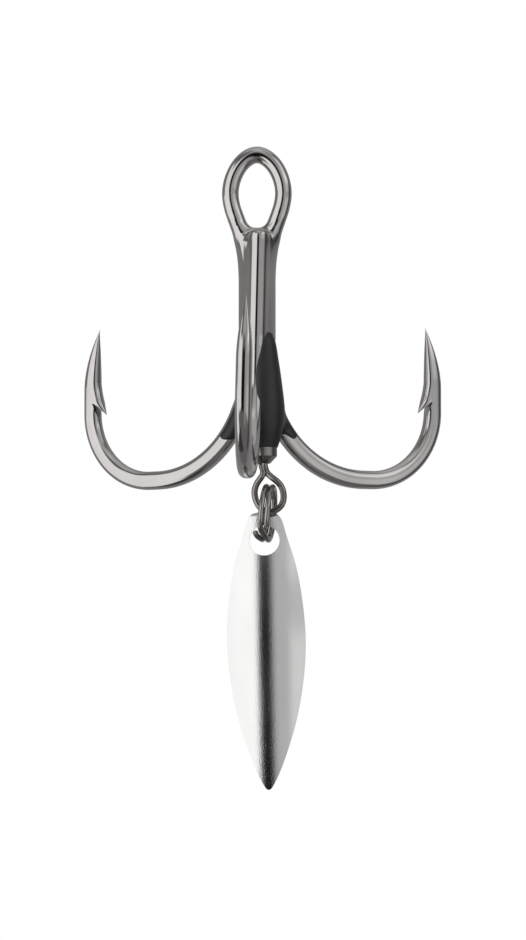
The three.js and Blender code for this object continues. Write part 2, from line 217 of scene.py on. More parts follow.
# Spinner blade. The outline's points are (share of the length, half width).
BLADE_LENGTH = 19.05
BLADE_THICKNESS = 0.28
BLADE_CURVE_R = 4.56
BLADE_BACK_Y = 0.52
BLADE_LEAN = 1
BLADE_HOLE_R = 1.04
HOLE_BELOW_TOP = 1.96
BLADE_PIVOT = (0.52, BARREL_Y, -23.95)
BLADE_RIM_ROUNDING = 0.07
BLADE_RIM_ANGLE = 40
BLADE_TIP_SHARE = 0.9985
BLADE_SEAM_Z = -2.9
BLADE_COLUMNS = 32
BLADE_RINGS = 14
BLADE_RING_SPREAD = 1.15
BLADE_ROWS = 110
BLADE_HOLE_STEPS = 96
EDGE_CROWDING = 0.35
BLADE_OUTLINE = [
    (0, 0), (0.012, 0.98), (0.07, 1.43), (0.186, 2.08), (0.32, 2.52), (0.46, 2.7), (0.6, 2.52),
    (0.733, 2.06), (0.85, 1.4), (0.94, 0.74), (0.985, 0.3), (0.997, 0.12), (1, 0),
]

# Camera and floor, in metres and degrees.
CAMERA_PLACE = (0.01089, -0.19970, -0.03224)
CAMERA_TILT = 93.76
CAMERA_YAW = 3
CAMERA_LENS = 111.5
FLOOR_HALF_SIDE = 0.16
FLOOR_BELOW = 0.02


# ---- Curves and sweeps ----

def outward(azimuth):
    """The unit vector away from the treble axis at an azimuth, where 0 is the front."""
    angle = math.radians(azimuth)
    return np.array([math.sin(angle), -math.cos(angle), 0.0])


def at_azimuth(azimuth, reach, z):
    return outward(azimuth) * reach + np.array([0.0, 0.0, z])


def smoothstep(value, low, high):
    share = np.clip((value - low) / (high - low), 0.0, 1.0)
    return share * share * (3 - 2 * share)


def evenly(points, count):
    """The same line with count points spaced evenly along it."""
    steps = np.linalg.norm(np.diff(points, axis=0), axis=1)
    along = np.concatenate([[0.0], np.cumsum(steps)])
    wanted = np.linspace(0, along[-1], count)
    return np.column_stack([np.interp(wanted, along, points[:, k]) for k in range(points.shape[1])])


def smooth_curve(control, count):
    """Evenly spaced points on a natural cubic spline through the control points."""
    control = np.array(control, float)
    spans = np.linalg.norm(np.diff(control, axis=0), axis=1) ** 0.5
    knots = np.concatenate([[0.0], np.cumsum(spans)])
    size = len(knots)
    system = np.eye(size)
    right_side = np.zeros_like(control)
    for i in range(1, size - 1):
        before, after = spans[i - 1], spans[i]
        system[i, i - 1:i + 2] = before, 2 * (before + after), after
        right_side[i] = 6 * ((control[i + 1] - control[i]) / after - (control[i] - control[i - 1]) / before)
    bend = np.linalg.solve(system, right_side)
    fine = np.linspace(knots[0], knots[-1], 60 * size)
    i = np.clip(np.searchsorted(knots, fine, side="right") - 1, 0, size - 2)
    span = spans[i][:, None]
    a = (knots[i + 1] - fine)[:, None] / span
    b = 1 - a
    points = a * control[i] + b * control[i + 1]
    points += ((a ** 3 - a) * bend[i] + (b ** 3 - b) * bend[i + 1]) * span ** 2 / 6
    return evenly(points, count)


def squared(cosine, sine, amount):
    """A point of the unit circle moved to the forged section: depth first, then thickness."""
    power = 2 / (2 + (FORGED_SQUARENESS - 2) * amount)
    depth = np.sign(cosine) * np.abs(cosine) ** power * (1 + (FORGED_DEPTH - 1) * amount)
    thickness = np.sign(sine) * np.abs(sine) ** power * (1 + (FORGED_THICKNESS - 1) * amount)
    return depth, thickness


def swept(points, radii, sides, forging=None, across_axes=None):
    """A wire along points, closed by a fan at each end: vertices in mm, and faces. It is round, or forged by
    an amount at each point, flat towards an axis of its own there."""
    points = np.asarray(points, float)
    tangents = np.gradient(points, axis=0)
    tangents /= np.linalg.norm(tangents, axis=1)[:, None]
    normal = np.array([0.0, 1.0, 0.0])
    if abs(tangents[0] @ normal) > 0.9:
        normal = np.array([1.0, 0.0, 0.0])
    angles = 2 * math.pi * (np.arange(sides) + 0.5) / sides
    rings = []
    for i, (point, tangent, radius) in enumerate(zip(points, tangents, radii)):
        normal = normal - tangent * (normal @ tangent)
        normal /= np.linalg.norm(normal)
        beside = np.cross(tangent, normal)
        circle = np.outer(np.cos(angles), normal) + np.outer(np.sin(angles), beside)
        if forging is not None and forging[i] > 0:
            thin = across_axes[i]
            deep = np.cross(thin, tangent)
            depth, thickness = squared(circle @ deep, circle @ thin, forging[i])
            circle = np.outer(depth, deep) + np.outer(thickness, thin)
        rings.append(point + radius * circle)
    vertices = np.vstack(rings + [points[:1], points[-1:]])
    last = len(points) - 1
    first_centre = len(points) * sides
    faces = []
    for k in range(sides):
        following = (k + 1) % sides
        faces.append((first_centre, following, k))
        faces.append((first_centre + 1, last * sides + k, last * sides + following))
        for i in range(last):
            a, b = i * sides + k, i * sides + following
            faces.append((a, b, b + sides, a + sides))
    return vertices, faces


def rounded_ends(points, radii, bevel, steps=4):
    """Adds stations at both ends so that the wire's cut ends are a little rounded."""
    points, radii = np.asarray(points, float), np.asarray(radii, float)
    out = []
    for end, inner in ((0, 1), (-1, -2)):
        direction = points[end] - points[inner]
        direction /= np.linalg.norm(direction)
        turns = np.linspace(0, math.pi / 2, steps + 1)[1:]
        extra = np.array([points[end] + direction * bevel * math.sin(t) for t in turns])
        out.append((extra, radii[end] - bevel * (1 - np.cos(turns))))
    (start, start_radii), (stop, stop_radii) = out
    points = np.vstack([start[::-1], points, stop])
    return points, np.concatenate([start_radii[::-1], radii, stop_radii])


def turned(profile, x, y, segments=72):
    """A closed turned body about a vertical axis, from [radius, z] points that start and end on the axis."""
    angles = 2 * math.pi * np.arange(segments) / segments
    vertices = [(x, y, profile[0][1])]
    for radius, z in profile[1:-1]:
        vertices += [(x + radius * math.cos(a), y + radius * math.sin(a), z) for a in angles]
    vertices.append((x, y, profile[-1][1]))
    rows = len(profile) - 2
    faces = []
    for k in range(segments):
        following = (k + 1) % segments
        faces.append((0, 1 + following, 1 + k))
        top = 1 + (rows - 1) * segments
        faces.append((len(vertices) - 1, top + k, top + following))
        for i in range(rows - 1):
            a, b = 1 + i * segments + k, 1 + i * segments + following
            faces.append((a, b, b + segments, a + segments))
    return np.array(vertices), faces


def together(*parts):
    """Several (vertices, faces) as one."""
    vertices, faces = [], []
    for part_vertices, part_faces in parts:
        start = sum(len(v) for v in vertices)
        vertices.append(part_vertices)
        faces += [tuple(start + i for i in face) for face in part_faces]
    return np.vstack(vertices), faces


# ---- Objects ----

def raw_object(name, shape, scale=1.0):
    vertices, faces = shape
    mesh = bpy.data.meshes.new(name)
    mesh.from_pydata((np.asarray(vertices) * scale).tolist(), [], faces)
    mesh.update()
    thing = bpy.data.objects.new(name, mesh)
    bpy.context.scene.collection.objects.link(thing)
    return thing


def read_shape(mesh):
    vertices = np.zeros(3 * len(mesh.vertices))
    mesh.vertices.foreach_get("co", vertices)
    return vertices.reshape(-1, 3), [tuple(face.vertices) for face in mesh.polygons]


def applied(thing):
    """The object's shape with its modifiers, and the object is removed."""
    graph = bpy.context.evaluated_depsgraph_get()
    mesh = bpy.data.meshes.new_from_object(thing.evaluated_get(graph))
    shape = read_shape(mesh)
    bpy.data.meshes.remove(mesh)
    bpy.data.objects.remove(thing)
    return shape


def combined(shape, tool, operation):
    """One solid joined with, or cut by, another."""
    thing, other = raw_object("work", shape), raw_object("tool", tool)
    modifier = thing.modifiers.new("combine", "BOOLEAN")
    modifier.operation = operation
    modifier.solver = "EXACT"
    modifier.object = other
    result = applied(thing)
    bpy.data.objects.remove(other)
    return result


def piece(name, shape, body, nodes, material, sharp=40):
    """A finished piece of the object, from a shape in millimetres."""
    thing = raw_object(name, shape, MM)
    mesh = thing.data
    mesh.polygons.foreach_set("use_smooth", [True] * len(mesh.polygons))
    mesh.set_sharp_from_angle(angle=math.radians(sharp))
    mesh.materials.append(material)
    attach(thing, body)
    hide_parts(*nodes)
    return thing


# ---- Distance fields, for the parts that flow into each other ----

def line_distance(points, line):
    """Distance from each point to a polyline, and how far along it the nearest place is, in segments."""
    best = np.full(len(points), np.inf)
    place = np.zeros(len(points))
    for i in range(len(line) - 1):
        start, step = line[i], line[i + 1] - line[i]
        share = np.clip((points - start) @ step / (step @ step), 0, 1)
        distance = np.linalg.norm(points - start - share[:, None] * step, axis=1)
        closer = distance < best
        best[closer] = distance[closer]
        place[closer] = i + share[closer]
    return best, place


def wire_distance(points, line, radii):
    """Signed distance to a wire whose radius varies along it."""
    distance, place = line_distance(points, line)
    return distance - np.interp(place, np.arange(len(radii)), radii)


def soft_union(a, b, reach):
    """Bodies a and b as one, with a fillet between them."""
    share = np.maximum(reach - np.abs(a - b), 0) / reach
    return np.minimum(a, b) - share ** 2 * reach / 4


def soft_cut(a, b, reach):
    """Body a with body b taken out of it."""
    return -soft_union(-a, b, reach)


def rounded_overlap(a, b, radius):
    """What is inside both a and b, with the edge between them rounded."""
    a, b = a + radius, b + radius
    return np.hypot(np.maximum(a, 0), np.maximum(b, 0)) + np.minimum(np.maximum(a, b), 0) - radius


def settled(shape, field, level, steps=7):
    """The shape's vertices moved on to the surface where the field has that level."""
    vertices, faces = shape
    step = 0.002
    least_steepness = 0.2
    longest_move = 0.08
    for _ in range(steps):
        value = field(vertices) - level
        slope = np.column_stack([
            (field(vertices + step * axis) - field(vertices - step * axis)) / (2 * step)
            for axis in np.eye(3)
        ])
        steepness = np.maximum((slope ** 2).sum(axis=1), least_steepness)
        move = slope * (value / steepness)[:, None]
        length = np.maximum(np.linalg.norm(move, axis=1), 1e-9)
        vertices = vertices - move * np.minimum(1, longest_move / length)[:, None]
    return vertices, faces


def remeshed(shape, voxel):
    """The shape as one skin of even quads."""
    thing = raw_object("work", shape)
    modifier = thing.modifiers.new("even", "REMESH")
    modifier.mode = "VOXEL"
    modifier.voxel_size = voxel
    return applied(thing)


def level_block(shape, low, high):
    """The shape between two heights, with flat ends."""
    thing = raw_object("work", shape)
    body = bmesh.new()
    body.from_mesh(thing.data)
    for z, side in ((low, -1), (high, 1)):
        everything = body.verts[:] + body.edges[:] + body.faces[:]
        cut = bmesh.ops.bisect_plane(
            body, geom=everything, plane_co=(0, 0, z), plane_no=(0, 0, side), clear_outer=True)
        rim = [part for part in cut["geom_cut"] if isinstance(part, bmesh.types.BMEdge)]
        bmesh.ops.holes_fill(body, edges=rim, sides=0)
    body.to_mesh(thing.data)
    body.free()
    result = read_shape(thing.data)
    bpy.data.objects.remove(thing)
    return result


# ---- Materials ----

CLOUD_SPAN = (0.3, 0.7)


def nodes_of(material):
    material.use_nodes = True
    return material.node_tree.nodes, material.node_tree.links


def noise_node(nodes, links, coordinates, scale, detail, name):
    noise = nodes.new("ShaderNodeTexNoise")
    noise.name = name
    noise.inputs["Scale"].default_value = scale
    noise.inputs["Detail"].default_value = detail
    links.new(coordinates, noise.inputs["Vector"])
    return noise.outputs["Fac"]


def ranged(nodes, links, value, low, high, out_low, out_high):
    node = nodes.new("ShaderNodeMapRange")
    for key, number in (("From Min", low), ("From Max", high), ("To Min", out_low), ("To Max", out_high)):
        node.inputs[key].default_value = number
    links.new(value, node.inputs["Value"])
    return node.outputs["Result"]


def tinted(nodes, links, value, dark, light):
    ramp = nodes.new("ShaderNodeValToRGB")
    for stop, position, colour in zip(ramp.color_ramp.elements, CLOUD_SPAN, (dark, light)):
        stop.position = position
        stop.color = (*colour, 1)
    links.new(value, ramp.inputs["Fac"])
    return ramp.outputs["Color"]


def surface(name, dark, light, roughness, cloud_scale, grain_scale, grain_depth, metallic=1.0, stretch=None):
    """A material with cloudy colour and roughness at one scale, and a fine grain at another. The scales are
    per metre, and the grain's depth is in metres."""
    material = bpy.data.materials.new(name)
    nodes, links = nodes_of(material)
    shader = nodes["Principled BSDF"]
    shader.inputs["Metallic"].default_value = metallic
    coordinates = nodes.new("ShaderNodeTexCoord").outputs["Object"]
    if stretch:
        mapping = nodes.new("ShaderNodeMapping")
        mapping.inputs["Scale"].default_value = stretch
        links.new(coordinates, mapping.inputs["Vector"])
        coordinates = mapping.outputs["Vector"]
    cloud = noise_node(nodes, links, coordinates, cloud_scale, 3, "cloud")
    grain = noise_node(nodes, links, coordinates, grain_scale, 2, "grain")
    links.new(tinted(nodes, links, cloud, dark, light), shader.inputs["Base Color"])
    links.new(ranged(nodes, links, cloud, *CLOUD_SPAN, *roughness), shader.inputs["Roughness"])
    bump = nodes.new("ShaderNodeBump")
    bump.inputs["Strength"].default_value = 1.0
    bump.inputs["Distance"].default_value = grain_depth
    links.new(grain, bump.inputs["Height"])
    links.new(bump.outputs["Normal"], shader.inputs["Normal"])
    return material


def make_materials():
    return {
        "hook": surface(
            "black_nickel", (0.39, 0.375, 0.37), (0.45, 0.435, 0.43), (0.09, 0.15),
            cloud_scale=260, grain_scale=9000, grain_depth=1.2e-7),
        "swivel": surface(
            "swivel_nickel", (0.2, 0.184, 0.175), (0.24, 0.222, 0.212), (0.2, 0.26),
            cloud_scale=400, grain_scale=12000, grain_depth=1e-7),
        "ring": surface(
            "ring_nickel", (0.26, 0.243, 0.233), (0.30, 0.282, 0.272), (0.16, 0.22),
            cloud_scale=400, grain_scale=12000, grain_depth=1e-7),
        "resin": surface(
            "resin_black", (0.005, 0.0048, 0.005), (0.009, 0.0086, 0.009), (0.4, 0.5),
            cloud_scale=500, grain_scale=9000, grain_depth=6e-6, metallic=0.0),
        "blade": surface(
            "satin_silver", (0.57, 0.57, 0.565), (0.62, 0.62, 0.615), (0.13, 0.18),
            cloud_scale=400, grain_scale=14000, grain_depth=5.5e-6, stretch=(1, 1, 0.5)),
    }


# ---- Hooks ----

def spear_at(z):
    """The spear's distance from the treble axis, and its radius, at a height."""
    from_tip = np.clip(TIP_Z - z, 0, TAPER_LENGTH)
    fullness = 1 - (1 - from_tip / TAPER_LENGTH) ** TAPER_POWER
    reach = TIP_REACH + (SPEAR_REACH - TIP_REACH) * fullness
    return reach, np.maximum(SPEAR_WIRE_R * fullness, TIP_R)


def across_axis(azimuth):
    """The unit vector square to the plane of a hook."""
    return np.cross(outward(azimuth), [0.0, 0.0, 1.0])


def front_lean(z):
    """How far the single hook stands to the right of the treble's middle plane at a height."""
    return FRONT_LEAN * (z - FRONT_LEAN_Z)


def forge_amount(points):
    """How far each point of a hook's line is forged: not on the shank, and fully from the bend to near the
    point."""
    reach = np.hypot(points[:, 0], points[:, 1]) - SHANK_R
    started = smoothstep(reach, FORGE_START, FORGE_FULL)
    from_tip = np.where(reach < SPEAR_REACH / 2, FORGE_TIP_FADE, TIP_Z - points[:, 2])
    return started * smoothstep(from_tip, 0, FORGE_TIP_FADE)


def hook_line(azimuth, fine=1.0):
    """Centre line and radii of one hook, from the straight shank round the bend to its point."""
    points, radii = [], []
    steps = int(HOOK_STEPS * fine)
    for i in range(steps + 1):
        angle = math.pi / 2 * i / steps
        reach = SHANK_R + INNER_BEND_R * (1 - math.cos(angle))
        points.append(at_azimuth(azimuth, reach, BEND_START_Z - INNER_BEND_R * math.sin(angle)))
        radii.append(WIRE_R)
    for i in range(1, steps + 1):
        angle = math.pi / 2 * i / steps
        reach = SPEAR_REACH - OUTER_BEND_R * (1 - math.sin(angle))
        points.append(at_azimuth(azimuth, reach, OUTER_BEND_Z - OUTER_BEND_R * math.cos(angle)))
        radii.append(WIRE_R + (SPEAR_WIRE_R - WIRE_R) * i / steps)
    for z in np.linspace(TIP_Z - TAPER_LENGTH, TIP_Z, steps + 1):
        reach, radius = spear_at(z)
        points.append(at_azimuth(azimuth, reach, z))
        radii.append(radius)
    return np.array(points), np.array(radii)


def in_hook_plane(azimuth, flat):
    """Points given as [reach, z, across] put in the plane of an azimuth."""
    flat = np.asarray(flat, float)
    out = outward(azimuth)
    return flat[:, :1] * out + flat[:, 1:2] * [0.0, 0.0, 1.0] + flat[:, 2:] * across_axis(azimuth)


def barb_notch(azimuth):
    """A wedge with a rounded apex that cuts under the barb, through the whole wire."""
    apex, tip = np.array(BARB_NOTCH), np.array(BARB_TIP)
    under = (tip - apex) / np.linalg.norm(tip - apex)
    floor = np.array(BARB_NOTCH_FLOOR) / np.linalg.norm(BARB_NOTCH_FLOOR)
    between = (under + floor) / np.linalg.norm(under + floor)
    centre = apex + BARB_NOTCH_R * BARB_NOTCH_INSET * between
    start = math.atan2(-under[0], under[1])
    stop = math.atan2(floor[0], -floor[1])
    if stop < start:
        stop += 2 * math.pi
    outline = [apex + under * BARB_NOTCH_LENGTH]
    for turn in np.linspace(start, stop, 9):
        outline.append(centre + BARB_NOTCH_R * np.array([math.cos(turn), math.sin(turn)]))
    outline.append(apex + floor * BARB_NOTCH_LENGTH)
    count = len(outline)
    flat = [(*p, across) for across in (BARB_NOTCH_HALF_WIDTH, -BARB_NOTCH_HALF_WIDTH) for p in outline]
    faces = [tuple(range(count))[::-1], tuple(range(count, 2 * count))]
    faces += [(i, (i + 1) % count, count + (i + 1) % count, count + i) for i in range(count)]
    return in_hook_plane(azimuth, flat), faces


def barb_sliver(azimuth, rows=24, arc=20):
    """The sliver raised from the wire: outside it keeps the wire's curve, inside it is the cut's flat."""
    flat = []
    tip_reach, tip_z = BARB_TIP
    notch_reach, notch_z = BARB_NOTCH
    lift_at_tip = SPEAR_REACH - SPEAR_WIRE_R - tip_reach
    for i in range(rows + 1):
        share = i / rows
        z = BARB_ROOT_Z + (tip_z - BARB_ROOT_Z) * share
        lift = lift_at_tip * share ** BARB_LIFT_POWER
        reach, radius = spear_at(z)
        centre = reach - lift
        radius -= BARB_SUNK
        below_notch = max(0.0, (notch_z - z) / (notch_z - tip_z))
        chord = notch_reach + (tip_reach + BARB_TIP_THICKNESS - notch_reach) * below_notch
        depth_share = max(0.01, min(0.999, (centre - chord) / (radius * FORGED_DEPTH)))
        half_angle = math.acos(depth_share ** (FORGED_SQUARENESS / 2))
        narrow = 1 - BARB_NARROWING * below_notch ** BARB_NARROWING_POWER
        turn = np.linspace(-half_angle, half_angle, arc)
        depth, thickness = squared(np.cos(turn), np.sin(turn), 1.0)
        flat += [(centre - radius * d, z, narrow * radius * t) for d, t in zip(depth, thickness)]
    faces = []
    for i in range(rows):
        for k in range(arc):
            a, b = i * arc + k, i * arc + (k + 1) % arc
            faces.append((a, a + arc, b + arc, b))
    faces.append(tuple(range(arc)))
    faces.append(tuple(range(rows * arc, (rows + 1) * arc))[::-1])
    return in_hook_plane(azimuth, flat), faces


def with_barb(shape, azimuth):
    cut = combined(shape, barb_notch(azimuth), "DIFFERENCE")
    return combined(cut, barb_sliver(azimuth), "UNION")


def eye_line(count=120):
    """Centre line and radii of the bend that joins the two side shanks."""
    left = [(-x, y, z) for x, y, z in reversed(EYE_RIGHT_HALF)]
    points = smooth_curve([*left, EYE_TOP, *EYE_RIGHT_HALF], count)
    slimming = smoothstep(points[:, 2], *EYE_SLIMMING_Z)
    return points, WIRE_R + (EYE_WIRE_R - WIRE_R) * slimming


def double_wire():
    """The whole double hook as one wire, point to point."""
    left_azimuth, right_azimuth = SIDE_AZIMUTHS
    left, left_radii = hook_line(left_azimuth)
    eye, eye_radii = eye_line()
    right, right_radii = hook_line(right_azimuth)
    points = np.vstack([left[::-1], eye, right])
    radii = np.concatenate([left_radii[::-1], eye_radii, right_radii])
    forging = np.concatenate([forge_amount(left)[::-1], np.zeros(len(eye)), forge_amount(right)])
    axes = [across_axis(left_azimuth)] * (len(left) + len(eye)) + [across_axis(right_azimuth)] * len(right)
    return swept(points, radii, HOOK_SIDES, forging, axes)


def make_double_hook(materials):
    shape = double_wire()
    for azimuth in SIDE_AZIMUTHS:
        shape = with_barb(shape, azimuth)
    return piece("double_hook_wire", shape, "treble", ["double_hook"], materials["hook"])


def make_single_hook(materials):
    points, radii = hook_line(FRONT_AZIMUTH)
    top = [at_azimuth(FRONT_AZIMUTH, SHANK_R, SINGLE_TOP_Z - below) for below, _ in SINGLE_TOP_ROUNDING]
    top_radii = [radius for _, radius in SINGLE_TOP_ROUNDING]
    forging = np.concatenate([np.zeros(len(top)), forge_amount(points)])
    axes = [across_axis(FRONT_AZIMUTH)] * len(forging)
    shape = swept(np.vstack([*top, points]), [*top_radii, *radii], HOOK_SIDES, forging, axes)
    vertices, faces = with_barb(shape, FRONT_AZIMUTH)
    vertices[:, 0] += front_lean(vertices[:, 2])
    return piece("single_hook_wire", (vertices, faces), "treble", ["single_hook"], materials["hook"])


# ---- Braze skin ----

def triangle_distance(points, corners, crown):
    """Signed distance to a triangle with crowned sides. Its corners are in counter-clockwise order, and each
    has a place for every point."""
    nearest = np.full(len(points), np.inf)
    bulge = np.zeros(len(points))
    inside = np.ones(len(points), bool)
    for i in range(3):
        start, side = corners[i], corners[(i + 1) % 3] - corners[i]
        offset = points - start
        share = np.clip((offset * side).sum(axis=1) / (side * side).sum(axis=1), 0, 1)
        distance = np.linalg.norm(offset - share[:, None] * side, axis=1)
        bulge = np.where(distance < nearest, 4 * crown * share * (1 - share), bulge)
        nearest = np.minimum(nearest, distance)
        inside &= side[:, 0] * offset[:, 1] - side[:, 1] * offset[:, 0] > 0
    return np.where(inside, -nearest, nearest) - bulge


def side_shanks(tail_z, count=120):
    """Centre line and radii of the two side shanks and the eye between them, down to a height."""
    eye, eye_radii = eye_line(count)
    tail = np.array([SHANK_X, SHANK_Y, tail_z])
    return np.vstack([[tail * (-1, 1, 1)], eye, [tail]]), np.array([WIRE_R, *eye_radii, WIRE_R])


def shank_field(points):
    """The three shanks, the web under the eye and the flush braze between the shanks, flowing together."""
    x, y, z = points.T
    line, radii = side_shanks(SHANK_TAIL_Z, 60)
    middle = len(line) // 2
    left = wire_distance(points, line[:middle + 1], radii[:middle + 1])
    right = wire_distance(points, line[middle:], radii[middle:])
    front = rounded_overlap(np.hypot(x - front_lean(z), y + SHANK_R) - WIRE_R, z - SINGLE_TOP_Z, FRONT_EDGE)
    ascending = line[middle:-1][::-1]
    wire_x = np.interp(z, ascending[:, 2], ascending[:, 0])
    wire_y = np.interp(z, ascending[:, 2], ascending[:, 1])
    depth = np.abs(y - wire_y + WEB_FORWARD) - WEB_HALF_DEPTH
    web = rounded_overlap(depth, z - (WEB_TOP_Z + WEB_RISE * x ** 2), WEB_CORNER)
    web = np.maximum(web, np.abs(x) - wire_x)
    corners = [np.column_stack(corner) for corner in (
        (front_lean(z), np.full(len(z), -SHANK_R)), (wire_x, wire_y), (-wire_x, wire_y))]
    sunk = BRAZE_SUNK + BRAZE_FADE_DEPTH * smoothstep(-z, *BRAZE_FADE_BELOW)
    braze = triangle_distance(points[:, :2], corners, BRAZE_CROWN) - WIRE_R + sunk
    braze = soft_cut(braze, SINGLE_TOP_Z - BRAZE_TOP_GAP - z, BRAZE_SHOULDER)
    wires = soft_union(soft_union(left, right, SHANK_BLEND), web, WEB_BLEND)
    return soft_union(soft_union(wires, front, FRONT_BLEND), braze, BRAZE_SOFTNESS)


def make_braze_skin(materials):
    """The skin starts as a coarse body over the shanks, and settles on to their field. It is one solid, and
    the shanks' wires run inside it."""
    tail_z = SKIN_BOTTOM_Z - SKIN_TAIL
    line, _ = side_shanks(tail_z)
    side_radii = np.full(COARSE_STATIONS, WIRE_R + COARSE_SPARE)
    sides = swept(evenly(line, COARSE_STATIONS), side_radii, COARSE_SIDES)
    front_top_z = SINGLE_TOP_Z - COARSE_FRONT_SPARE
    front = [(front_lean(z), -SHANK_R, z) for z in (front_top_z, tail_z)]
    core, core_faces = turned(CORE_PROFILE, 0, CORE_Y, segments=24)
    core *= (1, CORE_FLATNESS, 1)
    front_radii = [WIRE_R + COARSE_FRONT_SPARE] * 2
    shape = together(sides, swept(front, front_radii, COARSE_SIDES), (core, core_faces))
    shape = settled(remeshed(shape, SKIN_VOXEL), shank_field, SKIN_PROUD)
    shape = level_block(shape, SKIN_BOTTOM_Z, SKIN_TOP_Z)
    return piece("braze_skin", shape, "treble", ["shank_braze"], materials["hook"])


# ---- Resin keeper ----

def cuff_line(azimuth):
    """The middle of a cuff: the side wire's centre line, drawn in so that its outer side stays bare."""
    line, _ = hook_line(azimuth, CUFF_FINENESS)
    line = line[np.hypot(line[:, 0], line[:, 1]) < CUFF_REACH]
    return line + CUFF_INWARD[azimuth] * (0.5 * outward(FRONT_AZIMUTH) - outward(azimuth))


def cuff_field(points, azimuth):
    """A sleeve round a side wire, cut square at its end and level at its top."""
    line = cuff_line(azimuth)
    sleeve = line_distance(points, line)[0] - (WIRE_R + CUFF_WALL[azimuth])
    onward = (line[-1] - line[-2]) / np.linalg.norm(line[-1] - line[-2])
    sleeve = np.maximum(sleeve, (points - line[-1]) @ onward)
    return np.maximum(sleeve, points[:, 2] - CUFF_TOP_Z)


def resin_field(points):
    """A turned body round the barrel with a tongue up the groove, and a cuff on each side wire."""
    x, y, z = points.T
    profile = smooth_curve([(*p, 0.0) for p in RESIN_PROFILE], 200)
    radius = np.interp(z, profile[:, 1], profile[:, 0])
    around = np.hypot(x - BARREL_X, y - BARREL_Y)
    field = np.maximum(around - radius, z - RESIN_TOP_Z)
    for azimuth in SIDE_AZIMUTHS:
        field = soft_union(field, cuff_field(points, azimuth), CUFF_BLEND)
    rise = RESIN_RIM_RISE * smoothstep(around, *RESIN_RIM_RISE_SPAN)
    dip = RESIN_RIM_DIP * smoothstep(around, *RESIN_RIM_DIP_SPAN)
    field = soft_cut(field, z - (RESIN_BOTTOM_Z + rise - dip), RESIN_RIM_EDGE)
    return soft_cut(field, np.maximum(x - BARE_X, y - BARE_Y), BARE_EDGE)


def make_resin(materials):
    """One solid, with the wires and the barrel running inside it."""
    foot_z = RESIN_BOTTOM_Z - RESIN_FOOT_SPARE
    profile = [(0, foot_z), (RESIN_FOOT_R, foot_z), *RESIN_PROFILE[1:], (0, RESIN_TOP_Z)]
    parts = [turned(profile, BARREL_X, BARREL_Y, segments=48)]
    for azimuth in SIDE_AZIMUTHS:
        line = cuff_line(azimuth)
        parts.append(swept(line, np.full(len(line), WIRE_R + CUFF_WALL[azimuth]), sides=24))
    shape = settled(remeshed(together(*parts), RESIN_VOXEL), resin_field, level=0.0, steps=12)
    return piece("resin_body", shape, "treble", ["resin_keeper"], materials["resin"], sharp=50)


# ---- Swivel ----

def make_barrel(materials):
    """A solid body with a shallow dimple at each end in place of the hole. In CAD it is a hollow shell, and
    here the heads and legs of the two eyes run into it."""
    nose = BARREL_R - BARREL_CHAMFER + BARREL_NOSE_WIDENING
    # Each end's (radius, distance from the end), from the dimple's floor over the nose and up the chamfer.
    # The small numbers round the nose's and the chamfer's corners.
    half = [
        (BARREL_HOLE_R - BARREL_DIMPLE, BARREL_DIMPLE),
        (BARREL_HOLE_R - BARREL_LIP, BARREL_LIP), (BARREL_HOLE_R + BARREL_LIP, 0.0),
        (nose - 0.03, 0.0), (nose + 0.02, 0.03), (BARREL_R - 0.04, BARREL_CHAMFER - 0.04),
        (BARREL_R - 0.012, BARREL_CHAMFER - 0.008), (BARREL_R, BARREL_CHAMFER + 0.03),
    ]
    bottom = [(radius, BARREL_BOTTOM_Z + rise) for radius, rise in half]
    top = [(radius, BARREL_TOP_Z - rise) for radius, rise in reversed(half)]
    shape = turned([(0, bottom[0][1]), *bottom, *top, (0, top[-1][1])], BARREL_X, BARREL_Y)
    return piece("barrel_shell", shape, "treble", ["swivel_barrel"], materials["swivel"],
                 sharp=25)


def make_lower_eye(materials):
    """The head and the wire, as two closed shells that pass into each other."""
    dx, dy = LEG_OFFSET
    head_z = BARREL_BOTTOM_Z + BARREL_CHAMFER + HEAD_GAP + HEAD_HEIGHT / 2
    low, high = head_z - HEAD_HEIGHT / 2, head_z + HEAD_HEIGHT / 2
    leg_end_z = BARREL_BOTTOM_Z - LEG_BELOW_BARREL
    legs = [
        [(BARREL_X + hand * dx, BARREL_Y - hand * dy, z) for z in (head_z, leg_end_z)]
        for hand in (-1, 1)
    ]
    loop = [(x, BARREL_Y + y, z) for x, y, z in LOWER_LOOP]
    line = smooth_curve([*legs[0], *loop, *legs[1][::-1]], LOOP_STATIONS)
    rim = HEAD_R - HEAD_ROUNDING
    head = turned([(0, low), (rim, low), (HEAD_R, head_z), (rim, high), (0, high)], BARREL_X, BARREL_Y, 32)
    shape = together(head, swept(line, np.full(LOOP_STATIONS, SWIVEL_WIRE_R), LOOP_SIDES))
    return piece("lower_eye_wire", shape, "swivel", ["swivel_lower_eye"], materials["swivel"])


def finish_anchor_eye(materials):
    """The eye inside the resin keeps its CAD mesh, in the swivel's metal."""
    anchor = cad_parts["swivel_anchor_eye"]
    anchor.data.materials.clear()
    anchor.data.materials.append(materials["swivel"])


# ---- Split ring ----

def turn_about(points, axis, degrees):
    """Points turned about the X, Y or Z axis, given as 0, 1 or 2."""
    a, b = (axis + 1) % 3, (axis + 2) % 3
    c, s = math.cos(math.radians(degrees)), math.sin(math.radians(degrees))
    out = np.array(points, float)
    out[:, a] = c * points[:, a] - s * points[:, b]
    out[:, b] = s * points[:, a] + c * points[:, b]
    return out


